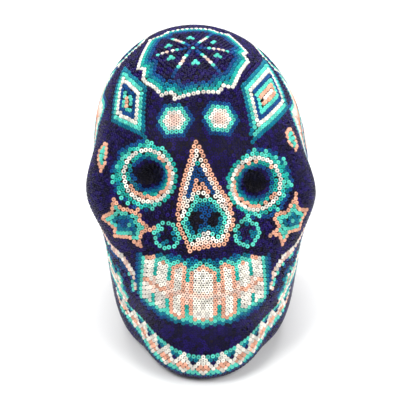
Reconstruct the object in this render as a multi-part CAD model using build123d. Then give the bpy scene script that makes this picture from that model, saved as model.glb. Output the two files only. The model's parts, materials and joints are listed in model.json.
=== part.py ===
from build123d import *
import os

import numpy as np

# Beaded papier-mache skull, in millimetres.  It stands on its flat underside at z = 0, the crown is up
# (+Z) and the face looks along -Y.  "left" and "right" are the sides as somebody facing it sees them:
# left is -X, right is +X.

# ---- layers, from the inside out ----
CORE_WALL = 3.5        # papier-mache shell
WAX_COAT = 0.9         # beeswax and resin spread over the shell
BEAD_LENGTH = 1.5      # one layer of 2.1 mm seed beads standing on end in the wax
SMALLEST_PATCH = 3.3   # mm3, one bead; scraps of ground smaller than this hold no bead
BASE_PANEL = 3.0       # card panel that closes the hollow shell underneath
PARTING_Y = 8.0        # joint between the moulded face half and the moulded back half

WAX_SURFACE = WAX_COAT
BEAD_SURFACE = WAX_COAT + BEAD_LENGTH

# ---- skull form: ellipsoids blended into one another (centre, half sizes, reach of the blend) ----
CRANIUM = ((0, 18, 77), (50.5, 72, 60.5))
BLENDED_FORMS = [
    ((0, 10, 102), (39, 48, 34), 14),      # crown
    ((0, 36, 28), (36, 47, 40), 18),       # occiput and neck
    ((0, -8, 98), (40, 38, 36), 14),       # forehead
    ((0, -27, 94), (42, 26, 22), 12),      # brow
    ((33, -27, 78), (17, 20, 15), 16),     # cheekbones
    ((0, -34, 62), (38, 34, 32), 14),      # upper jaw
    ((0, -40, 42), (34, 33, 24), 12),      # both rows of teeth
    ((0, -36, 16), (29, 37, 21), 12),      # chin
    ((27, -8, 38), (16, 34, 40), 16),      # branches of the jaw
    ((0, 0, 18), (35, 52, 32), 12),        # throat, which carries the skull between chin and neck
]
CROWN_LEAN = 0.06                          # the hand-built crown leans to the left, per mm of height
LEAN_FROM = 62.0                           # height where the lean begins
EYE_CENTRES = {-1: (-26.9, -62.0, 101.2), 1: (25.8, -62.0, 97.4)}
EYE_HALF_SIZE = (12.5, 20.0, 12.5)
EYE_TOE_IN = 0.15                          # sideways lean of the socket, per mm of depth
EYE_DROP = 0.30                            # downward lean of the socket, per mm of depth
EYE_ROUNDING = 6.0
NOSTRIL_CENTRE = (5.5, -73.0, 79.0)
NOSTRIL_HALF_SIZE = (6.5, 9.0, 9.0)
NOSTRIL_ROUNDING = 4.0

MIDDLE_X = -1.0                            # middle of the skull's width, from the drawing's own zero
MIDDLE_Y = 8.45                            # middle of its length

# ---- how the form is sampled for its spline surfaces ----
HEART = np.array((0.0, 4.0, 62.0))         # point inside, from which every direction meets the skin once
FACE_STEP = 3.75                           # degrees between samples across the face
FACE_HALF_WIDTH = 60.0                     # degrees to either side of the face that are sampled finely
BACK_SAMPLES = 26
ROWS = 40
CROWN_ELEVATION = 86.5                     # degrees; the small disc above it is flat
REACH = 150.0                              # farther than any point of the skin


def ellipsoid(points, centre, half_size):
    """Distance from an ellipsoid, negative inside; near enough to exact close to its skin."""
    scaled = (points - np.array(centre)) / np.array(half_size)
    length = np.linalg.norm(scaled, axis=-1)
    slope = np.linalg.norm(scaled / np.array(half_size), axis=-1)
    return length * (length - 1) / np.maximum(slope, 1e-9)


def blend(first, second, reach):
    """Union of two distances with a rounded valley between them."""
    mix = np.clip(0.5 + 0.5 * (second - first) / reach, 0, 1)
    return second * (1 - mix) + first * mix - reach * mix * (1 - mix)


def carve(body, tool, reach):
    """Body less tool, with a rounded edge."""
    return -blend(-body, tool, reach)


def skull_distance(points):
    """Distance from the papier-mache skin, negative inside."""
    leaned = points[..., 0] + CROWN_LEAN * np.maximum(points[..., 2] - LEAN_FROM, 0)
    mirrored = np.stack([np.abs(leaned), points[..., 1], points[..., 2]], -1)
    distance = ellipsoid(mirrored, *CRANIUM)
    for centre, half_size, reach in BLENDED_FORMS:
        distance = blend(distance, ellipsoid(mirrored, centre, half_size), reach)
    for side, centre in EYE_CENTRES.items():
        eye = points - np.array(centre)
        leaning = np.stack([eye[..., 0] + side * EYE_TOE_IN * eye[..., 1],
                            eye[..., 1],
                            eye[..., 2] + EYE_DROP * eye[..., 1]], -1)
        distance = carve(distance, ellipsoid(leaning, (0, 0, 0), EYE_HALF_SIZE), EYE_ROUNDING)
    nostril = ellipsoid(mirrored, NOSTRIL_CENTRE, NOSTRIL_HALF_SIZE)
    return carve(distance, nostril, NOSTRIL_ROUNDING)


def reach_skin(origin, directions, height):
    """Distance along each direction to the outermost skin that stands `height` above the shell."""
    steps = np.linspace(REACH, 5, 140)
    inner = np.zeros(directions.shape[:-1])
    outer = np.full(directions.shape[:-1], REACH)
    found = np.zeros(directions.shape[:-1], bool)
    for far, near in zip(steps[:-1], steps[1:]):
        hit = ~found & (skull_distance(origin + directions * near) < height)
        inner = np.where(hit, near, inner)
        outer = np.where(hit, far, outer)
        found |= hit
    for _ in range(30):
        middle = (inner + outer) / 2
        inside = skull_distance(origin + directions * middle[..., None]) < height
        inner = np.where(inside, middle, inner)
        outer = np.where(inside, outer, middle)
    return (inner + outer) / 2


def headings():
    """Sampling directions around the skull, in radians from the face, fine across the face."""
    face = np.arange(-FACE_HALF_WIDTH, FACE_HALF_WIDTH, FACE_STEP)
    back = np.linspace(FACE_HALF_WIDTH, 360 - FACE_HALF_WIDTH, BACK_SAMPLES + 1)[:-1]
    return np.radians(np.concatenate([face, back]) - 90)


def skin_solid(height):
    """Solid bounded by the skin that stands `height` above the shell, and by the table plane."""
    turn = headings()
    level = np.stack([np.cos(turn), np.sin(turn), np.zeros_like(turn)], -1)
    foot = reach_skin(np.array((HEART[0], HEART[1], 0.0)), level, height)
    lowest = np.arctan2(-HEART[2], foot)
    share = np.linspace(0, 1, ROWS)[:, None]
    rise = lowest * (1 - share) + np.radians(CROWN_ELEVATION) * share
    directions = np.stack([np.cos(rise) * np.cos(turn), np.cos(rise) * np.sin(turn), np.sin(rise)], -1)
    rows = HEART + directions * reach_skin(HEART, directions, height)[..., None]
    rows[0, :, 2] = 0.0
    rows[-1, :, 2] = rows[-1, :, 2].mean()
    knots = [i / len(turn) for i in range(len(turn) + 1)]
    wires = []
    for row in rows:
        ring = Edge.make_spline([Vector(*point) for point in row], periodic=True, parameters=knots)
        wires.append(Wire([ring]))
    return Solid.make_loft(wires)


def tangent_plane(heading, rise, right=(1, 0, 0)):
    """Plane that touches the bead skin in the given direction (degrees from the face, degrees up)."""
    turn, lift = np.radians((heading, rise))
    direction = np.array((np.sin(turn) * np.cos(lift), -np.cos(turn) * np.cos(lift), np.sin(lift)))
    distance = float(reach_skin(HEART, direction[None, :], BEAD_SURFACE)[0])
    point = HEART + direction * distance
    step = 0.05
    shifts = np.eye(3) * step
    normal = skull_distance(point + shifts) - skull_distance(point - shifts)
    normal = normal / np.linalg.norm(normal)
    across = np.array(right, float)
    across = across - across.dot(normal) * normal
    return Plane(origin=tuple(point), x_dir=tuple(across), z_dir=tuple(normal))


# ---- cutters: an outline on the tangent plane, drawn through the bead layer ----

def cutter(plane, outline, under=12, over=6):
    """Straight-sided cutter with the given outline; it ends inside the skull, clear of the far side."""
    face = plane * outline
    return extrude(Pos(*(plane.z_dir * -under)) * face, amount=under + over, dir=plane.z_dir)


def polygon(*points):
    return make_face(Polyline(*points, close=True))


def wavy_ring(radius, depth, lobes, turn=0.0, samples=8):
    """Closed curve whose radius swings `depth` to either side of `radius`, once for each lobe."""
    points = []
    for i in range(lobes * samples):
        angle = 2 * np.pi * i / (lobes * samples)
        reach = radius + depth * np.cos(lobes * (angle - np.radians(turn)))
        points.append((reach * np.cos(angle), reach * np.sin(angle)))
    return make_face(Spline(*points, periodic=True))


NOTCH_DEPTH = 2.6


def notched_corner(first, second):
    """The two tips of one corner and the notch between them, cut towards the middle of the outline."""
    middle = (np.array(first) + np.array(second)) / 2
    notch = middle * (1 - NOTCH_DEPTH / np.linalg.norm(middle))
    return [first, tuple(notch), second]


def crown_medallion():
    """Six-sided medallion on the crown; each corner is a pair of tips with a notch between them."""
    plane = tangent_plane(-46, 84)
    corners = [((28.3, -1.9), (27.8, 7.2)), ((18.9, 25.6), (10.5, 27.2)), ((-11.5, 25.4), (-20, 21.8)),
               ((-25.8, -8.9), (-22.8, -19.5)), ((-13.2, -33.2), (-6.8, -35.8)), ((14, -32.2), (20, -28.5))]
    points = [point for pair in corners for point in notched_corner(*pair)]
    return cutter(plane, polygon(*points), under=16)


def roundel(side):
    plane = tangent_plane(-15.5, 50.5) if side < 0 else tangent_plane(9.5, 52)
    return cutter(plane, Circle(8.6))


def diamond(side):
    if side < 0:
        outline = polygon((-3.4, 23.2), (15.3, -2.9), (10.6, -28.7), (-8, -10.8))
        return cutter(tangent_plane(-58.5, 54.5), outline)
    outline = polygon((9.9, 36.5), (18.1, 4.3), (-5.2, -28.1), (-13.7, 1.1))
    return cutter(tangent_plane(47, 58), outline)


def temple_spot(side):
    """Narrow upright hexagon on the temple."""
    if side < 0:
        outline = polygon((4.5, 7), (7, 2.2), (6.1, -5.4), (1, -8), (-2, -3.5), (-2, 4))
        return cutter(tangent_plane(-52, 31.5), outline)
    outline = polygon((-1.2, 9.3), (4.5, 7.5), (6, 1), (3.4, -4.5), (-2.8, -3.3), (-5.2, 1.5))
    return cutter(tangent_plane(51, 39.5), outline)


def side_flower(side):
    """Large eight-petalled flower on the side of the head."""
    plane = tangent_plane(side * 100, 28, right=(0, side, 0))
    return cutter(plane, wavy_ring(33, 3.5, 8), under=20)


EYE_RING_RADIUS = 15.8
EYE_RING_OFFSET = 1.7       # the ring sits this much farther from the nose than the socket
EYE_CUP_RADIUS = 12.4


def eye_circle(side, radius, offset=0.0):
    """Round cutter along the leaning axis of one eye socket."""
    axis = Vector(-side * EYE_TOE_IN, 1, -EYE_DROP).normalized()
    mouth = Vector(*EYE_CENTRES[side]) + Vector(side * offset, 0, 0)
    return extrude(Plane(origin=mouth, z_dir=axis) * Circle(radius), amount=42)


def nose_arrow():
    """Arrow head around the nose opening, point up, with slightly bulging sides."""
    plane = tangent_plane(1, 23)
    outline = polygon((-4.8, 29.5), (-10.8, 10), (-13.8, -4), (-13.4, -10.5), (-7.4, -22.3),
                      (9.9, -19.9), (13.7, -7.6), (11.9, 0), (5.2, 10))
    return cutter(plane, outline)


def nose_heart():
    """Inner field of the nose, with the two nostrils."""
    plane = tangent_plane(1, 23)
    outline = polygon((-5, 2), (-11.2, -9.6), (-7, -17.8), (0.7, -15), (7.1, -17), (10.4, -7.5), (3.8, 2))
    return cutter(plane, outline)


def star(side):
    """Star on the cheekbone, with points of uneven length."""
    if side < 0:
        outline = polygon((-9.5, 12.8), (-3.5, 7), (6.4, 8.1), (7, 2.2), (15.8, 0.2), (8, -4), (7.4, -11.2),
                          (-0.6, -8), (-11.5, -10.5), (-10, -5), (-18.8, -1), (-9.5, 4))
        return cutter(tangent_plane(-30, 11.5), outline)
    outline = polygon((6.9, 12.4), (7, 5), (16, 1.2), (11, -3), (12, -9.5), (2.4, -7), (-2.3, -13.6),
                      (-5.5, -6.1), (-13.8, -5), (-6.5, -1), (-10.3, 6), (-0.5, 5.6))
    return cutter(tangent_plane(35, 11), outline)


def nose_circle(side):
    plane = tangent_plane(-13.5, 10) if side < 0 else tangent_plane(16.5, 10.5)
    return cutter(plane, Circle(6.9))


TEETH_HALF_WIDTH = 31.5
BITE_HEIGHT = 0.0


def teeth_plane():
    return tangent_plane(0, -8.5)


def upper_teeth():
    """Everything beaded as upper teeth, out to the blue row around them."""
    half = TEETH_HALF_WIDTH
    edge = Polyline((half, 3), (half - 0.5, 15), (16, 17.5), (0, 15.5),
                    (-16, 17.5), (0.5 - half, 15), (-half, 3))
    bite = ThreePointArc((-half, 3), (0, BITE_HEIGHT), (half, 3))
    return cutter(teeth_plane(), make_face(edge + bite), under=26)


def lower_teeth():
    half = TEETH_HALF_WIDTH
    edge = Polyline((half, 3), (half - 3.5, -14), (0, -17), (3.5 - half, -14), (-half, 3))
    bite = ThreePointArc((-half, 3), (0, BITE_HEIGHT), (half, 3))
    return cutter(teeth_plane(), make_face(edge + bite), under=26)


# ---- jaw bands: outlines in the side view (y, z), drawn right across the skull ----

JAW_FRONT_Y = -90.0
JAW_BACK_Y = -36.0
JAW_SLOPE = 0.42            # the bands climb this much per mm towards the back
EDGE_BAND_TOP = 8.2         # heights of the band edges, at the front of the chin
RIM_BAND_TOP = 19.2
CHIN_FIELD_TOP = 32.0
CHIN_Y = -75.0


def jaw_height(height, y):
    return height + JAW_SLOPE * (y - CHIN_Y)


def side_view(*points, x_from=-70, x_to=70):
    """Cutter with a side-view outline, from x_from to x_to."""
    face = Plane(origin=(x_from, 0, 0), x_dir=(0, 1, 0), z_dir=(1, 0, 0)) * polygon(*points)
    return extrude(face, amount=x_to - x_from, dir=(1, 0, 0))


def jaw_band(bottom, top):
    """Sloping band right round the front of the jaw, between two heights at the chin."""
    ends = [(y, jaw_height(bottom, y)) for y in (JAW_FRONT_Y, JAW_BACK_Y)]
    ends += [(y, jaw_height(top, y)) for y in (JAW_BACK_Y, JAW_FRONT_Y)]
    return side_view(*ends)


def jaw_edge():
    """Everything under the rim band, down to the table."""
    return side_view((JAW_FRONT_Y, -1), (JAW_BACK_Y, -1),
                     (JAW_BACK_Y, jaw_height(EDGE_BAND_TOP, JAW_BACK_Y)),
                     (JAW_FRONT_Y, jaw_height(EDGE_BAND_TOP, JAW_FRONT_Y)))


def jaw_side(side):
    """Branch of the jaw behind the pale line on the cheek."""
    x_from, x_to = sorted((side * 22, side * 70))
    return side_view((-43, 59.5), (-52, 58.5), (-57.6, 54.4), (-62.8, 47.4), (-48, 31), (-2, 44), (2, 70),
                     (-26, 70), x_from=x_from, x_to=x_to)


def back_star():
    """Eight-pointed star on the back of the head."""
    plane = tangent_plane(180, 18, right=(-1, 0, 0))
    points = []
    for i in range(16):
        reach = 30 if i % 2 == 0 else 21
        angle = np.pi * i / 8
        points.append((reach * np.cos(angle), reach * np.sin(angle)))
    return cutter(plane, polygon(*points), under=16)


def rear_lozenge(side):
    """Long lozenge over the upper back of the head, beside the middle."""
    plane = tangent_plane(side * 122, 57, right=(side, 0.6, 0))
    return cutter(plane, polygon((0, 27), (-12, 0), (0, -27), (12, 0)))


# ---- zones of the plain ground between the motifs ----

FACE_ZONE_Y = -20.0
CROWN_ZONE_Z = 112.0
BACK_ZONE_Y = 52.0


def block(x_range, y_range, z_range):
    size = [high - low for low, high in (x_range, y_range, z_range)]
    middle = [(high + low) / 2 for low, high in (x_range, y_range, z_range)]
    return Pos(*middle) * Box(*size)


WIDE = (-120, 120)
GROUND_ZONES = {
    "ground_chin": jaw_band(RIM_BAND_TOP, CHIN_FIELD_TOP),
    "ground_face": block(WIDE, (-120, FACE_ZONE_Y), (-10, 200)),
    "ground_crown": block(WIDE, WIDE, (CROWN_ZONE_Z, 200)),
    "ground_back": block(WIDE, (BACK_ZONE_Y, 200), (-10, 200)),
    "ground_left": block((-120, 0), WIDE, (-10, 200)),
    "ground_right": block((0, 120), WIDE, (-10, 200)),
}

MOTIFS = {
    "crown_medallion": crown_medallion(),
    "brow_roundel_left": roundel(-1),
    "brow_roundel_right": roundel(1),
    "temple_diamond_left": diamond(-1),
    "temple_diamond_right": diamond(1),
    "temple_spot_left": temple_spot(-1),
    "temple_spot_right": temple_spot(1),
    "side_flower_left": side_flower(-1),
    "side_flower_right": side_flower(1),
    "eye_cup_left": eye_circle(-1, EYE_CUP_RADIUS),
    "eye_cup_right": eye_circle(1, EYE_CUP_RADIUS),
    "eye_ring_left": eye_circle(-1, EYE_RING_RADIUS, EYE_RING_OFFSET),
    "eye_ring_right": eye_circle(1, EYE_RING_RADIUS, EYE_RING_OFFSET),
    "nose_heart": nose_heart(),
    "nose_arrow": nose_arrow(),
    "cheek_star_left": star(-1),
    "cheek_star_right": star(1),
    "nose_circle_left": nose_circle(-1),
    "nose_circle_right": nose_circle(1),
    "upper_teeth": upper_teeth(),
    "lower_teeth": lower_teeth(),
    "jaw_side_left": jaw_side(-1),
    "jaw_side_right": jaw_side(1),
    "jaw_edge_band": jaw_edge(),
    "jaw_rim_band": jaw_band(EDGE_BAND_TOP, RIM_BAND_TOP),
    "back_star": back_star(),
    "rear_lozenge_left": rear_lozenge(-1),
    "rear_lozenge_right": rear_lozenge(1),
}


def main():
    os.makedirs("parts", exist_ok=True)
    inside = skin_solid(-CORE_WALL)
    shell_skin = skin_solid(0)
    wax_skin = skin_solid(WAX_SURFACE)
    bead_skin = skin_solid(BEAD_SURFACE)
    pieces = {}

    core = shell_skin - inside
    pieces["core_front"] = core & block(WIDE, (-120, PARTING_Y), (-10, 200))
    pieces["core_back"] = core & block(WIDE, (PARTING_Y, 200), (-10, 200))
    pieces["base_panel"] = inside & block(WIDE, WIDE, (0, BASE_PANEL))
    pieces["wax_coat"] = wax_skin - shell_skin

    remaining = bead_skin - wax_skin
    for name, tool in {**MOTIFS, **GROUND_ZONES}.items():
        pieces[name] = remaining & tool
        if name != "ground_right":
            remaining = remaining - tool

    for name, shape in pieces.items():
        centred = Pos(-MIDDLE_X, -MIDDLE_Y, 0) * shape
        bodies = [body for body in centred.solids() if body.volume > SMALLEST_PATCH]
        whole = Compound(children=bodies) if len(bodies) > 1 else bodies[0]
        export_step(whole, f"parts/{name}.step")


main()
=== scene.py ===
"""Beaded papier-mache skull: glass seed beads, one by one, standing in a dark wax coat whose near-black colour
is partly painted shade between the beads.
"""
import json
import math
import random
from bisect import bisect
from collections import deque

import bpy
import numpy as np
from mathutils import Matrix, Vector
from mathutils.bvhtree import BVHTree
from mathutils.kdtree import KDTree

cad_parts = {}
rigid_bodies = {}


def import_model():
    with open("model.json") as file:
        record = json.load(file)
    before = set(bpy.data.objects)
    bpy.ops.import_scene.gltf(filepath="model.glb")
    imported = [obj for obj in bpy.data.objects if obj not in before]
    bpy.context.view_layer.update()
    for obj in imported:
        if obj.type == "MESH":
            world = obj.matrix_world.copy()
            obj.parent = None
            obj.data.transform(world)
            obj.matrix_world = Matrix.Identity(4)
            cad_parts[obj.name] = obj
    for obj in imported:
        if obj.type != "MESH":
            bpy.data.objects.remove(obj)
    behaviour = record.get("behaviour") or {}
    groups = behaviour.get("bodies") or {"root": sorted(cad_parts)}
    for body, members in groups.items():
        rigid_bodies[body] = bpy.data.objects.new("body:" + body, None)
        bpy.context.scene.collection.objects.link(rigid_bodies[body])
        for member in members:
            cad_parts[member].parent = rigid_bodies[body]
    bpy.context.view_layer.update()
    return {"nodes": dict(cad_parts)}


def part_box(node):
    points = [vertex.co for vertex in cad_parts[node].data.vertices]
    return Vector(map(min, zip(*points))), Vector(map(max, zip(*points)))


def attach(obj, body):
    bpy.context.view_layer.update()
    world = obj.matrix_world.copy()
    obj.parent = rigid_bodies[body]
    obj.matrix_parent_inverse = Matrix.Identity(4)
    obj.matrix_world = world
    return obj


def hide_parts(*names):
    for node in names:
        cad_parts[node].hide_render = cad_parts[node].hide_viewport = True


for leftover in list(bpy.data.objects):
    bpy.data.objects.remove(leftover)
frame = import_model()
random.seed(7)

# Lengths are in millimetres until a mesh is written; MM turns them into metres.
MM = 0.001
PITCH = 2.12              # bead centre to bead centre
HALF = PITCH * 0.5
ROW = PITCH * 0.88        # depth of one row of nested beads
COLUMN = PITCH * 0.866    # between the upright columns of beads on the teeth
NEIGHBOURHOOD = PITCH * 1.93         # two beads this close can hold a third one between them

# How close two beads may come, as a share of the pitch.
SQUEEZE = 0.955           # while a field is being filled
TREFOIL_ROOM = 0.9        # the small trefoils on the crown
TOOTH_ROOM = 0.86         # along a column of the teeth
RIM_ROOM = 0.84           # in the rows of the jaw rim
PRESSED = 0.80            # the last beads, pressed into the gaps that are left
SETTLING = 30             # rounds of pushing one another aside after that
PUSH = 0.4                # share of an overlap that each bead gives way in a round
BEAD_FOOT = 0.45          # a bead is hidden by the wax below this height
BEAD_SIDES = 12
WAX_RISE = 0.62           # how far the wax comes up between the beads
MID_BEAD = 0.75           # spacing is measured half way up the beads
HEART = Vector((1.0, -4.4, 62.0))    # middle of the hollow, which faces are judged from
BEADS_PER_PIECE = 1000
LIFTED = 0.45             # the outer faces of a field are this far over the skin at least
FACES_OUT = 0.8           # and this square to it
LOWEST = PITCH * 0.55     # no bead sits with its middle lower than this over the flat underside
LEAN = 0.07               # how far a bead may stand off square
ARCH_RADIUS = 36.8        # of the two rows of teeth, seen from above
ARCH_END = 36.0           # how far the rows of teeth go to each side, along the arch
BITE_RISE = 3.2           # how much the bite is higher at those ends than in the middle
UPRIGHT = 0.97            # rise of one millimetre of skin on the teeth

CORE_NODES = ("core_front", "core_back", "base_panel", "wax_coat")
FIELDS = [name for name in frame["nodes"] if name not in CORE_NODES]
GROUNDS = [name for name in FIELDS if name.startswith("ground")]
TEETH = ("upper_teeth", "lower_teeth")


# ---------------------------------------------------------------- the skin that the beads stand on

def mesh_in_mm(obj):
    """Welded points and faces of a CAD node, in millimetres."""
    mesh = obj.data
    flat = np.empty(len(mesh.vertices) * 3)
    mesh.vertices.foreach_get("co", flat)
    points = flat.reshape(-1, 3)
    turn = np.array(obj.matrix_world)
    points = (points @ turn[:3, :3].T + turn[:3, 3]) / MM
    keys, first, back = np.unique(np.round(points, 3), axis=0, return_index=True, return_inverse=True)
    back = back.reshape(-1)
    faces = []
    for polygon in mesh.polygons:
        corners = [int(back[v]) for v in polygon.vertices]
        if len(set(corners)) == len(corners):
            faces.append(corners)
    return points[first], faces


def face_frames(points, faces):
    """Normal and centre of each triangle."""
    corners = np.array([points[face[:3]] for face in faces])
    normals = np.cross(corners[:, 1] - corners[:, 0], corners[:, 2] - corners[:, 0])
    return normals, corners.mean(axis=1)


def search_tree(places):
    """Tree for finding the nearest of some places."""
    tree = KDTree(len(places))
    for i, place in enumerate(places):
        tree.insert(place, i)
    tree.balance()
    return tree


def row_at(depth):
    """Row of beads at this depth: 0 along the outline, 1 for the next one in, and so on."""
    return max(0, int(round((depth - HALF) / ROW)))


class Skin:
    """Outer face of the wax coat, lifted to half the bead height, with smooth normals."""

    def __init__(self, obj):
        points, faces = mesh_in_mm(obj)
        normals, centres = face_frames(points, faces)
        outward = (normals * (centres - np.array(HEART))).sum(axis=1) > 0
        underside = centres[:, 2] < 0.02
        kept = [i for i in range(len(faces)) if outward[i] and not underside[i]]
        smooth = np.zeros_like(points)
        for i in kept:
            for corner in faces[i]:
                smooth[corner] += normals[i]
        length = np.linalg.norm(smooth, axis=1)
        smooth[length > 0] /= length[length > 0][:, None]
        self.faces = [faces[i] for i in kept]
        self.normals = [Vector(n) for n in smooth]
        self.points = [Vector(p + n * MID_BEAD) for p, n in zip(points, smooth)]
        self.tree = BVHTree.FromPolygons(self.points, self.faces)

    def at(self, point):
        return self.tree.find_nearest(point)[0]

    def normal(self, point):
        place, flat, index, _ = self.tree.find_nearest(point)
        total = Vector((0, 0, 0))
        for corner in self.faces[index]:
            total += self.normals[corner] / ((self.points[corner] - place).length + 0.05)
        return total.normalized()


class Fields:
    """Which bead field a place on the skin belongs to, and how far it is from the field's outline."""

    def __init__(self, skin):
        points = []
        faces = []
        self.owner = []
        self.outline = {}
        for name in FIELDS:
            own_points, own_faces = mesh_in_mm(frame["nodes"][name])
            normals, centres = face_frames(own_points, own_faces)
            outer = []
            for face, normal, centre in zip(own_faces, normals, centres):
                place = Vector(centre)
                near = skin.at(place)
                up = skin.tree.find_nearest(place)[1]
                lifted = (place - near).dot(up) > LIFTED
                if lifted and Vector(normal).normalized().dot(up) > FACES_OUT:
                    outer.append(face)
            base = len(points)
            points.extend(Vector(p) for p in own_points)
            faces.extend([v + base for v in face] for face in outer)
            self.owner.extend([name] * len(outer))
            self.outline[name] = self.loops(own_points, outer, skin)
        self.tree = BVHTree.FromPolygons(points, faces)
        self.distance_trees = {name: self.distance_tree(loops) for name, loops in self.outline.items()}
        self.outer_trees = {}

    @staticmethod
    def loops(points, faces, skin):
        """Closed outlines of a patch of faces, on the skin, longest first."""
        edges = {}
        for face in faces:
            for a, b in zip(face, face[1:] + face[:1]):
                edges[(a, b)] = True
        following = {a: b for a, b in edges if (b, a) not in edges}
        loops = []
        while following:
            start, step = next(iter(following.items()))
            loop = []
            while step in following or step == start:
                loop.append(skin.at(Vector(points[step])))
                if step == start:
                    break
                step = following.pop(step)
            following.pop(start, None)
            if len(loop) > 8:
                loops.append(loop)
        return sorted(loops, key=len, reverse=True)

    @staticmethod
    def distance_tree(loops):
        return search_tree([place for loop in loops for place in densify(loop, 0.35)])

    def name_at(self, point):
        return self.owner[self.tree.find_nearest(point)[2]]

    def depth(self, name, point):
        """Distance in from the outline of a field."""
        return self.distance_trees[name].find(point)[2]

    def row(self, name, point):
        return row_at(self.depth(name, point))

    def row_from_outer(self, name, point):
        """Row counted from the outer outline of a field that has a hole."""
        if name not in self.outer_trees:
            self.outer_trees[name] = self.distance_tree(self.outline[name][:1])
        return row_at(self.outer_trees[name].find(point)[2])


def densify(loop, step):
    """The closed loop with points no more than `step` apart."""
    dense = []
    for a, b in zip(loop, loop[1:] + loop[:1]):
        parts = max(1, int(math.ceil((b - a).length / step)))
        for i in range(parts):
            dense.append(a.lerp(b, i / parts))
    return dense


# ---------------------------------------------------------------- laying the beads

class BeadBook:
    """Every bead laid so far, with a grid for finding neighbours."""

    CELL = PITCH * 2

    def __init__(self, skin):
        self.skin = skin
        self.places = []
        self.colours = []
        self.owners = []
        self.grid = {}

    def cell(self, place):
        return tuple(int(math.floor(v / self.CELL)) for v in place)

    def near(self, place, reach):
        ci, cj, ck = self.cell(place)
        found = []
        for i in (ci - 1, ci, ci + 1):
            for j in (cj - 1, cj, cj + 1):
                for k in (ck - 1, ck, ck + 1):
                    for index in self.grid.get((i, j, k), ()):
                        if (self.places[index] - place).length < reach:
                            found.append(index)
        return found

    def free(self, place, share=SQUEEZE):
        """Room for one more bead here, clear of the flat underside."""
        return place.z > LOWEST and not self.near(place, PITCH * share)

    def lay(self, place, owner, colour=None):
        self.grid.setdefault(self.cell(place), []).append(len(self.places))
        self.places.append(place)
        self.colours.append(colour)
        self.owners.append(owner)
        return len(self.places) - 1

    def string(self, path, owner, colours=None, closed=True, spacing=PITCH, share=SQUEEZE):
        """Beads laid along a dense path, evenly, each touching the last."""
        laid = []
        last = None
        first = None
        for place in path:
            if last is not None and (place - last).length < spacing:
                continue
            if closed and first is not None and (place - first).length < spacing * 0.93:
                continue
            if not self.free(place, share):
                continue
            colour = colours[len(laid) % len(colours)] if colours else None
            laid.append(self.lay(place, owner, colour))
            last = place
            first = first or place
        return laid

    def fill(self, start, owner_of, share=SQUEEZE):
        """Nests beads against the ones laid, outwards from `start`; owner_of says who owns a place."""
        queue = deque(start)
        touch = PITCH * min(1.0, share / SQUEEZE)
        while queue:
            here = queue.popleft()
            a = self.places[here]
            neighbours = sorted(self.near(a, NEIGHBOURHOOD), key=lambda n: (self.places[n] - a).length)
            up = None
            for other in neighbours:
                if other == here:
                    continue
                b = self.places[other]
                if up is None:
                    up = self.skin.tree.find_nearest(a)[1]
                half = (b - a) / 2
                rise = math.sqrt(max(touch * touch - half.length_squared, 0.0))
                side = up.cross(half).normalized() * rise
                for offset in (side, -side):
                    place = self.skin.at(a + half + offset)
                    if not self.free(place, share):
                        continue
                    owner = owner_of(place)
                    if owner:
                        queue.append(self.lay(place, owner))

    def touching(self, places, reach):
        """All pairs of beads closer than `reach`, as two lists of indices."""
        tree = search_tree(places)
        first = []
        second = []
        for i, place in enumerate(places):
            for _, j, _ in tree.find_range(place, reach):
                if j > i:
                    first.append(i)
                    second.append(j)
        return np.array(first), np.array(second)

    def settle(self, rounds):
        """Pressed-in beads push one another aside until they sit evenly."""
        places = np.array([tuple(p) for p in self.places])
        for turn in range(rounds):
            if turn % 6 == 0:
                first, second = self.touching(places, PITCH * 1.25)
            gap = places[second] - places[first]
            distance = np.linalg.norm(gap, axis=1)
            overlap = np.maximum(PITCH - distance, 0) / np.maximum(distance, 1e-6)
            push = gap * (overlap * PUSH)[:, None]
            moves = np.zeros_like(places)
            np.add.at(moves, second, push)
            np.add.at(moves, first, -push)
            places += moves
            places[:, 2] = np.maximum(places[:, 2], LOWEST)
            places = np.array([tuple(self.skin.at(Vector(p))) for p in places])
        self.places = [Vector(p) for p in places]


# ---------------------------------------------------------------- places and paths on the head

DENSE = 0.25              # between the points of a dense path


def path_length(path):
    return sum((b - a).length for a, b in zip(path, path[1:]))


def inset_path(name, loop, depth):
    """The closed loop moved inwards over the skin by `depth`, without the tangles at its corners."""
    dense = densify(loop, DENSE)
    path = []
    count = len(dense)
    for i, place in enumerate(dense):
        along = dense[(i + 3) % count] - dense[i - 3]
        if along.length < 1e-6:
            continue
        side = skin.tree.find_nearest(place)[1].cross(along).normalized() * depth
        for offset in (side, -side):
            moved = skin.at(place + offset)
            if fields.name_at(moved) == name and fields.depth(name, moved) > depth * 0.93:
                path.append(moved)
                break
    return path


def lay_outline(name):
    """One row of beads just inside the outer outline of a field."""
    path = inset_path(name, fields.outline[name][0], HALF)
    length = path_length(path)
    beads = max(3, math.floor(length / PITCH))
    return book.string(path, name, spacing=min(PITCH * 1.04, length / beads) * 0.985)


def line_over_skin(start, direction, length):
    """Dense path over the skin from a place, in a straight line as seen from above the skin."""
    steps = int(length / DENSE) + 1
    return [skin.at(start + direction * (i * DENSE)) for i in range(steps)]


def centre_of(name):
    """Middle of a field's outline, on the skin."""
    loop = densify(fields.outline[name][0], 0.5)
    middle = sum(loop, Vector((0, 0, 0))) / len(loop)
    return middle if name.startswith("eye") else skin.at(middle)


def tangent_axes(place):
    """Unit vectors along the skin: one to the right, one square to it."""
    right = Vector((1, 0, 0))
    up = skin.normal(place)
    across = (right - up * right.dot(up)).normalized()
    return across, up.cross(across)


def own(name):
    """Owner rule for a fill that stays inside one field, off its outline."""
    def rule(place):
        if fields.name_at(place) == name and fields.depth(name, place) > PITCH * 0.36:
            return name
        return None
    return rule


# ---------------------------------------------------------------- motifs, laid in the order an artisan lays them

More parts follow.
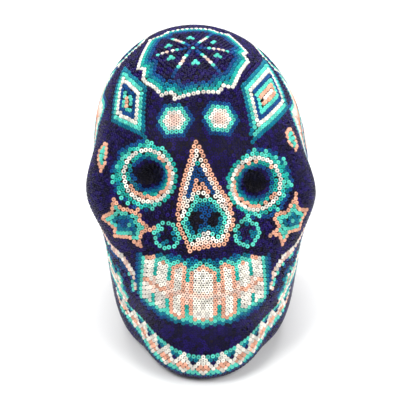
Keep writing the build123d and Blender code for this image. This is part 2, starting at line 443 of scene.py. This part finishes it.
MEDALLION_ROWS = 3.6      # rows of the medallion's border
SPOKES = 6
SPOKE_TURN = math.radians(6)
SPOKE_LENGTH = 30
SPOKE_COLOURS = ("blue", "blue", "turquoise", "white", "blush", "white", "turquoise", "blue", "blue",
                 "blue")
TREFOIL_REACH = 12.6      # from the middle of the medallion


def lay_medallion():
    """Border rows, six spokes from a single bright bead, and a trefoil in each space between them."""
    name = "crown_medallion"
    border = lay_outline(name)
    inner_edge = MEDALLION_ROWS * ROW

    def border_rule(place):
        return name if own(name)(place) and fields.depth(name, place) < inner_edge else None

    book.fill(border, border_rule)
    middle = centre_of(name)
    across, along = tangent_axes(middle)
    laid = [book.lay(middle, name, "turquoise")]
    for k in range(SPOKES):
        angle = SPOKE_TURN + k * 2 * math.pi / SPOKES
        direction = across * math.cos(angle) + along * math.sin(angle)
        path = line_over_skin(middle + direction * PITCH * 1.45, direction, SPOKE_LENGTH)
        inside = [p for p in path if own(name)(p) and fields.depth(name, p) > inner_edge + 0.5]
        laid += book.string(inside, name, SPOKE_COLOURS, closed=False)
        angle += math.pi / SPOKES
        direction = across * math.cos(angle) + along * math.sin(angle)
        for turn in (90, 210, 330):
            spread = across * math.cos(math.radians(turn)) + along * math.sin(math.radians(turn))
            place = skin.at(middle + direction * TREFOIL_REACH + spread * PITCH * 0.58)
            if book.free(place, TREFOIL_ROOM):
                laid.append(book.lay(place, name, "turquoise"))
    book.fill(laid, own(name))


def lay_from_middle(name):
    """Rings of beads around one in the middle."""
    middle = centre_of(name)
    start = book.lay(middle, name)
    book.lay(skin.at(middle + tangent_axes(middle)[0] * PITCH), name)
    book.fill([start], own(name))


def lay_from_outline(name):
    book.fill(lay_outline(name), own(name))


def lay_eye(side):
    """The rim of the socket first, then down into the cup and out over the ring."""
    cup = "eye_cup_" + side
    ring = "eye_ring_" + side
    rim = lay_outline(cup)
    book.fill(rim, own(cup))

    def ring_rule(place):
        return ring if fields.name_at(place) == ring else None

    book.fill(rim, ring_rule)


def teeth_rule(place):
    owner = fields.name_at(place)
    return owner if owner in TEETH else None


def arch_point(along, height):
    """Place on the rows of teeth: so far round the arch from the middle, at that height."""
    turn = along / ARCH_RADIUS
    level = Vector((math.sin(turn), -math.cos(turn), 0))
    start = Vector((arch_middle.x, arch_middle.y, height)) + level * ARCH_RADIUS * 2
    return skin.tree.ray_cast(start, -level)[0]


def bite_height(along):
    """The line between the rows of teeth rises to both sides."""
    return bite_z + BITE_RISE * (along / ARCH_END) ** 2


TOOTH_STEP = 0.1          # between the points that a column is traced by
TOOTH_POINTS = 260        # enough of them to pass the longest tooth


def lay_teeth():
    """Upright columns side by side round the arch, every other one half a bead higher."""
    columns = int(ARCH_END / COLUMN)
    for column in range(-columns, columns + 1):
        along = column * COLUMN
        start = bite_height(along) + (HALF * UPRIGHT if column % 2 else 0.0)
        for step in (TOOTH_STEP, -TOOTH_STEP):
            path = [arch_point(along, start + step * i) for i in range(TOOTH_POINTS)]
            if step < 0:
                path = path[int(0.8 * PITCH * UPRIGHT / TOOTH_STEP):]
            path = [place for place in path if place and teeth_rule(place)]
            laid = book.string(path, "upper_teeth", closed=False, share=TOOTH_ROOM)
            for bead in laid:
                book.owners[bead] = fields.name_at(book.places[bead])


def jaw_rule(place):
    owner = fields.name_at(place)
    return owner if owner in ("jaw_rim_band", "jaw_edge_band") else None


def shift_down(line, depth):
    """The line moved down over the skin by `depth`, square to itself."""
    moved = []
    for i, place in enumerate(line):
        along = line[min(i + 8, len(line) - 1)] - line[max(i - 8, 0)]
        side = skin.normal(place).cross(along).normalized() * depth
        moved.append(skin.at(place - side if side.z > 0 else place + side))
    return moved


# One string for each row of the rim, from the top; four beads that repeat along it.
RIM_CHART = ("wttt", "wllw", "wwnw", "pwwp", "ppwp", "wttw", "wttt", "blbl")
LETTERS = {"w": "white", "t": "turquoise", "l": "teal", "b": "blue", "n": "navy", "p": "peach"}


def lay_jaw_bands():
    """Rows parallel to the top of the rim, each half a bead along from the last, coloured by the chart."""
    line = shift_down(rim_edge, HALF)
    sites = int(rim_along[-1] / PITCH)
    for row, chart in enumerate(RIM_CHART):
        for site in range(-sites, sites):
            along = (site + 0.5 * (row % 2)) * PITCH
            place = line[bisect(rim_along, along)]
            owner = jaw_rule(place)
            if owner and book.free(place, RIM_ROOM):
                book.lay(place, owner, LETTERS[chart[site % len(chart)]])
        line = shift_down(line, ROW)


def lay_all():
    """Motifs first, then every place that is left, then a bead pressed into each gap."""
    lay_medallion()
    for side in ("left", "right"):
        lay_eye(side)
        for motif in ("cheek_star_", "temple_diamond_", "temple_spot_", "side_flower_", "rear_lozenge_",
                      "nose_circle_", "jaw_side_"):
            lay_from_outline(motif + side)
        lay_from_middle("brow_roundel_" + side)
    lay_from_outline("back_star")
    lay_from_outline("nose_heart")
    lay_from_outline("nose_arrow")
    lay_teeth()
    lay_jaw_bands()
    book.fill(range(len(book.places)), fields.name_at)
    book.fill(range(len(book.places)), fields.name_at, share=PRESSED)
    book.settle(SETTLING)
    for index, place in enumerate(book.places):
        if not book.colours[index]:
            book.owners[index] = fields.name_at(place)


# ---------------------------------------------------------------- colours

PALETTE = {
    "ink": (0.002, 0.002, 0.008),
    "navy": (0.005, 0.002, 0.040),
    "blue": (0.003, 0.050, 0.180),
    "teal": (0.002, 0.140, 0.220),
    "green": (0.012, 0.340, 0.290),
    "turquoise": (0.080, 0.520, 0.420),
    "orange": (0.640, 0.230, 0.100),
    "peach": (0.680, 0.350, 0.240),
    "blush": (0.700, 0.500, 0.420),
    "white": (0.680, 0.650, 0.590),
}

# Colours of the rows of a motif, from its outline inwards; the last one goes on to the middle.
ROWS = {
    "crown_medallion": ("white", "green", "teal", "blue", "navy"),
    "temple_diamond": ("teal", "turquoise", "white", "blue", "turquoise", "peach", "white"),
    "temple_spot": ("peach", "turquoise"),
    "side_flower": ("blue", "turquoise", "white", "white", "blush", "peach", "orange", "teal", "turquoise",
                    "white", "teal", "blue", "navy", "peach", "white"),
    "rear_lozenge": ("white", "turquoise", "navy", "navy", "blue", "turquoise", "white"),
    "back_star": ("peach", "white", "turquoise", "teal", "blue", "navy", "navy", "turquoise", "white",
                  "peach"),
    "cheek_star": ("peach", "turquoise", "teal", "blue"),
    "nose_circle": ("turquoise", "navy"),
    "nose_heart": ("turquoise", "teal", "blue"),
}
# Colour of the beads strewn over a motif, their share, and the first row that they are in.
SCATTER = {
    "cheek_star": ("turquoise", 0.22, 2),
    "nose_circle": ("teal", 0.30, 1),
    "nose_arrow": ("turquoise", 0.30, 3),
    "eye_ring": ("turquoise", 0.22, 0),
}


def family(name):
    """A field's name without its side."""
    for ending in ("_left", "_right"):
        if name.endswith(ending):
            return name[:-len(ending)]
    return name


def by_rows(name, place):
    colours = ROWS[family(name)]
    return colours[min(fields.row(name, place), len(colours) - 1)]


def scattered(name, place, colour):
    """Single bright beads strewn over the inner rows of some motifs."""
    if family(name) in SCATTER:
        strewn, share, first_row = SCATTER[family(name)]
        if fields.row(name, place) >= first_row and random.random() < share:
            return strewn
    return colour


ROUNDEL_BANDS = ((1.4, "blush"), (2.3, "white"), (3.0, "turquoise"), (3.5, "teal"))    # reach in beads


def roundel_colour(name, place):
    """Blush middle, white star, then turquoise, teal and blue."""
    middle = centres[name]
    across, along = tangent_axes(middle)
    offset = place - middle
    reach = offset.length / PITCH
    angle = math.atan2(offset.dot(along), offset.dot(across))
    star = reach - 0.3 * math.cos(6 * angle)
    for limit, colour in ROUNDEL_BANDS:
        if star < limit:
            return colour
    return "blue"


EYE_LEAN = (0.15, 1.0, -0.30)        # of a socket's axis; the first number is mirrored
# Reach of each band of an eye cup from its axis, and its colour.
EYE_BANDS = ((5.8, "ink"), (6.9, "navy"), (7.9, "blue"), (8.9, "teal"), (9.8, "green"), (11.0, "peach"),
             (99.0, "white"))


def eye_reach(name, place):
    """Distance of a place from the axis of its eye socket."""
    side = name.rsplit("_", 1)[1]
    middle = centres["eye_cup_" + side]
    mirrored = EYE_LEAN[0] if side == "left" else -EYE_LEAN[0]
    axis = Vector((mirrored, *EYE_LEAN[1:])).normalized()
    offset = place - middle
    return (offset - axis * offset.dot(axis)).length


def eye_colour(name, place):
    """Pale rim, then darker and darker rings down to a black bottom."""
    reach = eye_reach(name, place)
    for limit, colour in EYE_BANDS:
        if reach < limit:
            return colour


def ring_colour(name, place):
    """Eye ring: turquoise against the rim, teal, then blue on the outside."""
    cup = name.replace("ring", "cup")
    reach = fields.depth(cup, place)
    if reach < PITCH * 0.9:
        return "green"
    if fields.depth(name, place) < PITCH * 0.95 and reach > PITCH:
        return "blue"
    return random.choice(("turquoise", "green", "green", "teal", "teal"))


# Heights on the nose are measured from the top of its heart-shaped opening.
NOSE_PEAKS = 8.6          # of the peach arch's points
NOSE_PERIOD = 3.8         # from one of its points to the next
NOSE_NOTCH = 2.0          # depth of the notches between them
NOSE_SHOULDER = -3        # the sides of the nose are plain below this
CHEVRON_TOP = 13.0        # of the blue chevron


def nose_colour(name, place):
    """A peach row and a white one; inside, a turquoise peak, a blue chevron and a peach arch."""
    row = fields.row_from_outer(name, place)
    side = abs(place.x - centres["nose_heart"].x)
    rise = place.z - nose_heart_top
    if row == 0:
        return "peach"
    if fields.depth("nose_heart", place) < PITCH * 0.95:
        return "white"
    if row == 1:
        return "blush" if rise < NOSE_SHOULDER or random.random() < 0.3 else "white"
    if rise < NOSE_SHOULDER:
        return "peach"
    if row == 2 and rise < CHEVRON_TOP - 2:
        return "blue"
    notch = abs((side / NOSE_PERIOD + 0.5) % 1 - 0.5) * 2 * NOSE_NOTCH
    if rise < NOSE_PEAKS - notch:
        return "peach"
    if rise < CHEVRON_TOP:
        return "blue"
    return "turquoise" if random.random() < 0.2 else "green"


NOSTRIL_OUT = 3.9         # from the middle of the nose
NOSTRIL_UP = 0.2
NOSTRIL_HALF = (2.6, 4.0)
DIP_HALF = 1.7            # of the white dip in the lower edge of the heart
DIP_TOP = -5.2


def heart_colour(name, place):
    """Blue heart with two dark nostrils and a white dip in its lower edge."""
    offset = place - centres[name]
    wide, tall = NOSTRIL_HALF
    for side in (-1, 1):
        if ((offset.x - side * NOSTRIL_OUT) / wide) ** 2 + ((offset.z - NOSTRIL_UP) / tall) ** 2 < 1:
            return "ink"
    if abs(offset.x) < DIP_HALF and offset.z < DIP_TOP:
        return "white"
    return by_rows(name, place)


# Each tooth: its middle and half width along the arch, and how far it stands above and below the bite.
TOOTH_SHAPES = ((0.0, 6.1, 13.2, 13.8), (11.95, 3.7, 12.9, 13.2), (20.2, 2.75, 12.6, 11.0),
                (27.6, 3.4, 13.2, 9.4))
TOOTH_EDGE = 0.1          # peach beads reach this far over the outline of a tooth
OUTER_TEETH = 17.0        # along the arch; the teeth past this have no peach outline
OUTER_WHITE = 11.0        # height over the bite that those are white up to
GAP_TOP = 9.0             # the gaps between the teeth are green up to this height
GAP_PALE = 5.0            # and blush up to this one
GAP_END = 26.0            # along the arch, where the gaps end
AROUND_TEETH = ("turquoise", "teal", "blue", "navy")


def tooth_place(place):
    """Distance along the row of teeth from the middle, and height over the bite, along the skin."""
    along = abs(math.atan2(place.x - arch_middle.x, arch_middle.y - place.y)) * ARCH_RADIUS
    return along, (place.z - bite_height(along)) / UPRIGHT


def tooth_colour(name, place):
    """White teeth with peach outlines, ringed by turquoise, teal and blue."""
    along, height = tooth_place(place)
    outside = 99.0
    for centre, half, above, below in TOOTH_SHAPES:
        tall = above if height > 0 else below
        across = abs(along - centre) - half
        over = abs(height) - tall
        corner = half * 0.75
        gap = math.hypot(max(across + corner, 0), max(over + corner, 0)) - corner
        outside = min(outside, max(gap, min(across, over)) if gap < 0 else gap)
    outer = along > OUTER_TEETH
    if outside < TOOTH_EDGE:
        if abs(height) < HALF:
            return "peach" if outer else "blush"
        white = outside < -PITCH * 0.80 or (outer and abs(height) < OUTER_WHITE)
        return "white" if white else "peach"
    if abs(height) < GAP_TOP and along < GAP_END:
        return "green" if abs(height) > GAP_PALE else "blush"
    return AROUND_TEETH[min(int(outside / (PITCH * 0.85)), len(AROUND_TEETH) - 1)]


def rim_colour(name, place):
    """Colour for a bead pressed in between the rows of the rim chart, and for the rows under it."""
    _, index, below = rim_tree.find(place)
    row = row_at(below)
    if row >= len(RIM_CHART):
        return "navy"
    chart = RIM_CHART[row]
    site = int(round(rim_along[index] / PITCH - 0.5 * (row % 2)))
    return LETTERS[chart[site % len(chart)]]


JAW_NAVY = 7.5            # the navy behind the cheek line goes to this row, less the steps
JAW_STEPS = 3             # depth of the steps, in rows
JAW_BANDS = ("teal", "turquoise", "white", "blush", "white", "turquoise", "teal", "blue", "navy", "teal",
             "turquoise", "white")


def jaw_side_colour(name, place):
    """Pale line along the cheek, navy behind it, then stepped turquoise and white."""
    tree, along = cheek_lines[name]
    _, index, reach = tree.find(place)
    row = reach / ROW
    if row < 1.7:
        return "white" if random.random() < 0.4 else "blush"
    if row < 2.6:
        return "turquoise" if random.random() < 0.4 else "blue"
    stepped = row + ((along[index] / (3.2 * PITCH)) % 1) * JAW_STEPS
    if stepped < JAW_NAVY:
        return "blue" if random.random() < 0.2 else "navy"
    return JAW_BANDS[int(stepped - JAW_NAVY) % len(JAW_BANDS)]


COLOUR_RULES = {
    "brow_roundel": roundel_colour,
    "eye_cup": eye_colour,
    "eye_ring": ring_colour,
    "nose_arrow": nose_colour,
    "nose_heart": heart_colour,
    "upper_teeth": tooth_colour,
    "lower_teeth": tooth_colour,
    "jaw_rim_band": rim_colour,
    "jaw_edge_band": rim_colour,
    "jaw_side": jaw_side_colour,
}


def colour_of(index):
    """Colour given when the bead was laid, or else by the rule of its field."""
    if book.colours[index]:
        return book.colours[index]
    name = book.owners[index]
    place = book.places[index]
    if name in GROUNDS:
        return "navy"
    rule = COLOUR_RULES.get(family(name), by_rows)
    return scattered(name, place, rule(name, place))


# ---------------------------------------------------------------- lines that the colours are counted from

def rim_line():
    """Upper edge of the jaw rim, from the left end round the chin to the right end."""
    outline = densify(fields.outline["jaw_rim_band"][0], DENSE)
    back = max(p.y for p in outline) - 0.8
    edge = [p for p in outline if fields.depth("jaw_edge_band", p) > 3 and p.y < back]
    return sorted(edge, key=lambda p: math.atan2(p.x, back - p.y))


def cheek_line(name):
    """Front edge of the side of the jaw, from its foremost corner upwards."""
    outline = densify(fields.outline[name][0], DENSE)
    corner = min(outline, key=lambda p: p.y)
    front = [p for p in outline if p.z >= corner.z and fields.depth("ground_face", p) < 0.7]
    return sorted(front, key=lambda p: p.z)


def line_tree(line):
    """Search tree of a line of points, and the distance along the line to each of them from its middle."""
    along = [0.0]
    for a, b in zip(line, line[1:]):
        along.append(along[-1] + (b - a).length)
    middle = along[len(line) // 2]
    return search_tree(line), [value - middle for value in along]


# ---------------------------------------------------------------- meshes

BEAD_PROFILE = (          # half section of a bead: radius and height above the wax, from foot to hole
    (0.99, BEAD_FOOT),
    (1.03, 0.85),
    (0.97, 1.22),
    (0.80, 1.45),
    (0.62, 1.50),
    (0.46, 1.36),
    (0.41, 0.95),
    (0.41, 0.60),
)


def bead_template():
    """Points and faces of one bead, standing on the origin along +Z."""
    points = []
    for radius, height in BEAD_PROFILE:
        for i in range(BEAD_SIDES):
            angle = 2 * math.pi * i / BEAD_SIDES
            points.append((radius * math.cos(angle), radius * math.sin(angle), height))
    faces = []
    for row in range(len(BEAD_PROFILE) - 1):
        for i in range(BEAD_SIDES):
            j = (i + 1) % BEAD_SIDES
            a = row * BEAD_SIDES
            b = a + BEAD_SIDES
            faces.append((a + i, a + j, b + j, b + i))
    return np.array(points), np.array(faces)


def bead_axes(index):
    """Foot, turn and size of one bead: square to the skin, give or take a few degrees."""
    place = book.places[index]
    up = skin.normal(place)
    lean = Vector([random.uniform(-1, 1) * LEAN for _ in range(3)])
    up = (up + lean).normalized()
    across = up.orthogonal().normalized()
    along = up.cross(across)
    turn = np.array((across, along, up)).T
    size = random.uniform(0.975, 1.015)
    return np.array(place - up * MID_BEAD), turn, size


def bead_mesh(name, indices):
    """One mesh of many separate beads, with a tone for each of them."""
    points, faces = bead_template()
    all_points = []
    all_faces = []
    tones = []
    for count, index in enumerate(indices):
        foot, turn, size = bead_axes(index)
        sized = points * (size, size, 1.0)
        all_points.append((foot + sized @ turn.T) * MM)
        all_faces.append(faces + count * len(points))
        tones.extend([random.random()] * len(points))
    mesh = bpy.data.meshes.new(name)
    mesh.from_pydata(np.concatenate(all_points).tolist(), [], np.concatenate(all_faces).tolist())
    mesh.attributes.new("tone", "FLOAT", "POINT").data.foreach_set("value", tones)
    mesh.shade_smooth()
    return mesh


def add_piece(name, mesh, material, nodes):
    piece = bpy.data.objects.new(name, mesh)
    bpy.context.scene.collection.objects.link(piece)
    mesh.materials.append(material)
    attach(piece, "root")
    if nodes:
        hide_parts(*nodes)
    return piece


def wax_mesh():
    """The wax coat of the frame, its outer skin risen between the feet of the beads."""
    points, faces = mesh_in_mm(frame["nodes"]["wax_coat"])
    risen = []
    for point in points:
        place = Vector(point)
        near = skin.at(place)
        if abs((place - near).length - MID_BEAD) < 0.02 and place.z > 0.01:
            place = place + (near - place).normalized() * (WAX_RISE + random.uniform(-0.05, 0.05))
            place.z = max(place.z, 0.0)
        risen.append(place * MM)
    mesh = bpy.data.meshes.new("wax_skin")
    mesh.from_pydata(risen, [], faces)
    mesh.shade_smooth()
    return mesh


# ---------------------------------------------------------------- materials

def new_material(name):
    material = bpy.data.materials.new(name)
    material.use_nodes = True
    nodes = material.node_tree.nodes
    return material, nodes, material.node_tree.links, nodes["Principled BSDF"]


DARK_GLASS = 0.2          # a colour that adds up to less varies more from bead to bead; for these dark beads the spread is partly their own tone and partly painted sheen
DARK_TONES = (0.4, 2.4)
PALE_TONES = (0.72, 1.22)


def glass_material(colour):
    """Opaque glass seed bead: every bead a little lighter or darker than its neighbours."""
    red, green, blue = PALETTE[colour]
    material, nodes, links, shader = new_material("glass_" + colour)
    tone = nodes.new("ShaderNodeAttribute")
    tone.attribute_name = "tone"
    ramp = nodes.new("ShaderNodeValToRGB")
    dark = red + green + blue < DARK_GLASS
    # Dark beads: the lightest of them are partly painted sheen and glints, not only their own tone.
    low, high = DARK_TONES if dark else PALE_TONES
    ramp.color_ramp.elements[0].color = (red * low, green * low, blue * low, 1)
    ramp.color_ramp.elements[1].color = (min(1, red * high), min(1, green * high), min(1, blue * high), 1)
    middle = ramp.color_ramp.elements.new(0.5)
    middle.color = (red, green, blue, 1)
    links.new(tone.outputs["Fac"], ramp.inputs["Fac"])
    links.new(ramp.outputs["Color"], shader.inputs["Base Color"])
    shader.inputs["Roughness"].default_value = 0.13
    shader.inputs["IOR"].default_value = 1.28
    return material


def rough_material(name, dark, light, scale, roughness, bump, specular=0.5):
    """Matt material with patches of two tones and a fine uneven surface."""
    material, nodes, links, shader = new_material(name)
    place = nodes.new("ShaderNodeTexCoord")
    patches = nodes.new("ShaderNodeTexNoise")
    patches.inputs["Scale"].default_value = scale
    patches.inputs["Detail"].default_value = 6.0
    ramp = nodes.new("ShaderNodeValToRGB")
    ramp.color_ramp.elements[0].position = 0.35
    ramp.color_ramp.elements[0].color = (*dark, 1)
    ramp.color_ramp.elements[1].position = 0.65
    ramp.color_ramp.elements[1].color = (*light, 1)
    grain = nodes.new("ShaderNodeTexNoise")
    grain.inputs["Scale"].default_value = scale * 9
    relief = nodes.new("ShaderNodeBump")
    relief.inputs["Strength"].default_value = bump
    relief.inputs["Distance"].default_value = 0.0004
    links.new(place.outputs["Object"], patches.inputs["Vector"])
    links.new(place.outputs["Object"], grain.inputs["Vector"])
    links.new(patches.outputs["Fac"], ramp.inputs["Fac"])
    links.new(ramp.outputs["Color"], shader.inputs["Base Color"])
    links.new(grain.outputs["Fac"], relief.inputs["Height"])
    links.new(relief.outputs["Normal"], shader.inputs["Normal"])
    shader.inputs["Roughness"].default_value = roughness
    shader.inputs["Specular IOR Level"].default_value = specular
    return material


# ---------------------------------------------------------------- the scene around the skull

CAMERA_TARGET = Vector((-0.45, -14.9, 64.9))
CAMERA_REACH = 700.0
CAMERA_ELEVATION = math.radians(25)
CAMERA_LENS = 130.0


def add_camera():
    data = bpy.data.cameras.new("camera")
    data.lens = CAMERA_LENS
    camera = bpy.data.objects.new("camera", data)
    back = Vector((0, -math.cos(CAMERA_ELEVATION), math.sin(CAMERA_ELEVATION)))
    camera.location = (CAMERA_TARGET + back * CAMERA_REACH) * MM
    camera.rotation_euler = (math.pi / 2 - CAMERA_ELEVATION, 0, 0)
    bpy.context.scene.collection.objects.link(camera)
    bpy.context.scene.camera = camera


def add_light(name, place, size, power):
    """Soft square lamp that faces the middle of the skull."""
    data = bpy.data.lights.new(name, "AREA")
    data.size = size
    data.energy = power
    lamp = bpy.data.objects.new(name, data)
    lamp.location = place
    aim = Vector((0, 0, 0.06)) - Vector(place)
    lamp.rotation_euler = aim.to_track_quat("-Z", "Y").to_euler()
    bpy.context.scene.collection.objects.link(lamp)


def add_floor():
    mesh = bpy.data.meshes.new("floor")
    half = 3.0
    level = -0.0003
    corners = [(-half, -half, level), (half, -half, level), (half, half, level), (-half, half, level)]
    mesh.from_pydata(corners, [], [(0, 1, 2, 3)])
    floor = bpy.data.objects.new("floor", mesh)
    paper = rough_material("paper_floor", (0.86, 0.86, 0.86), (0.88, 0.88, 0.88), 4, 0.9, 0.02)
    floor.data.materials.append(paper)
    bpy.context.scene.collection.objects.link(floor)


def add_world():
    world = bpy.data.worlds.new("studio")
    world.use_nodes = True
    background = world.node_tree.nodes["Background"]
    background.inputs["Color"].default_value = (1, 1, 1, 1)
    background.inputs["Strength"].default_value = 0.22
    bpy.context.scene.world = world
    bpy.context.scene.view_settings.view_transform = "Standard"


# ---------------------------------------------------------------- putting it together

skin = Skin(frame["nodes"]["wax_coat"])
fields = Fields(skin)
book = BeadBook(skin)

rim_edge = rim_line()
rim_tree, rim_along = line_tree(rim_edge)
cheek_lines = {name: line_tree(cheek_line(name)) for name in ("jaw_side_left", "jaw_side_right")}
centres = {name: centre_of(name) for name in FIELDS}
nose_heart_top = max(p.z for p in fields.outline["nose_heart"][0])
bite_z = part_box("upper_teeth")[0][2] / MM
arch_middle = skin.at(Vector((HEART.x, -110, bite_z))) + Vector((0, ARCH_RADIUS, 0))

lay_all()

glass = {colour: glass_material(colour) for colour in PALETTE}
groups = {}
for index in range(len(book.places)):
    groups.setdefault((book.owners[index], colour_of(index)), []).append(index)

for (name, colour), indices in groups.items():
    for start in range(0, len(indices), BEADS_PER_PIECE):
        label = f"{name}.{colour}" + (f".{start // BEADS_PER_PIECE + 1}" if start else "")
        mesh = bead_mesh(label, indices[start:start + BEADS_PER_PIECE])
        add_piece(label, mesh, glass[colour], [name])

# Wax: its own dark colour, taken down to near black so that it also paints the shade in the gaps between the
# beads.
wax = rough_material("dark_wax", (0.003, 0.002, 0.003), (0.008, 0.005, 0.006), 60, 0.6, 0.3, 0.1)
add_piece("wax_skin", wax_mesh(), wax, ["wax_coat"])
card = rough_material("papier_mache", (0.42, 0.35, 0.26), (0.55, 0.47, 0.36), 90, 0.9, 0.5)
for name in ("core_front", "core_back", "base_panel"):
    frame["nodes"][name].data.materials.clear()
    frame["nodes"][name].data.materials.append(card)

add_floor()
add_world()
add_light("key", (-0.5, -0.7, 1.0), 0.5, 13)
add_light("fill", (0.7, -0.65, 0.7), 0.7, 11)
add_light("top", (0.0, 0.25, 1.2), 0.9, 17)
add_camera()

print("beads", len(book.places))
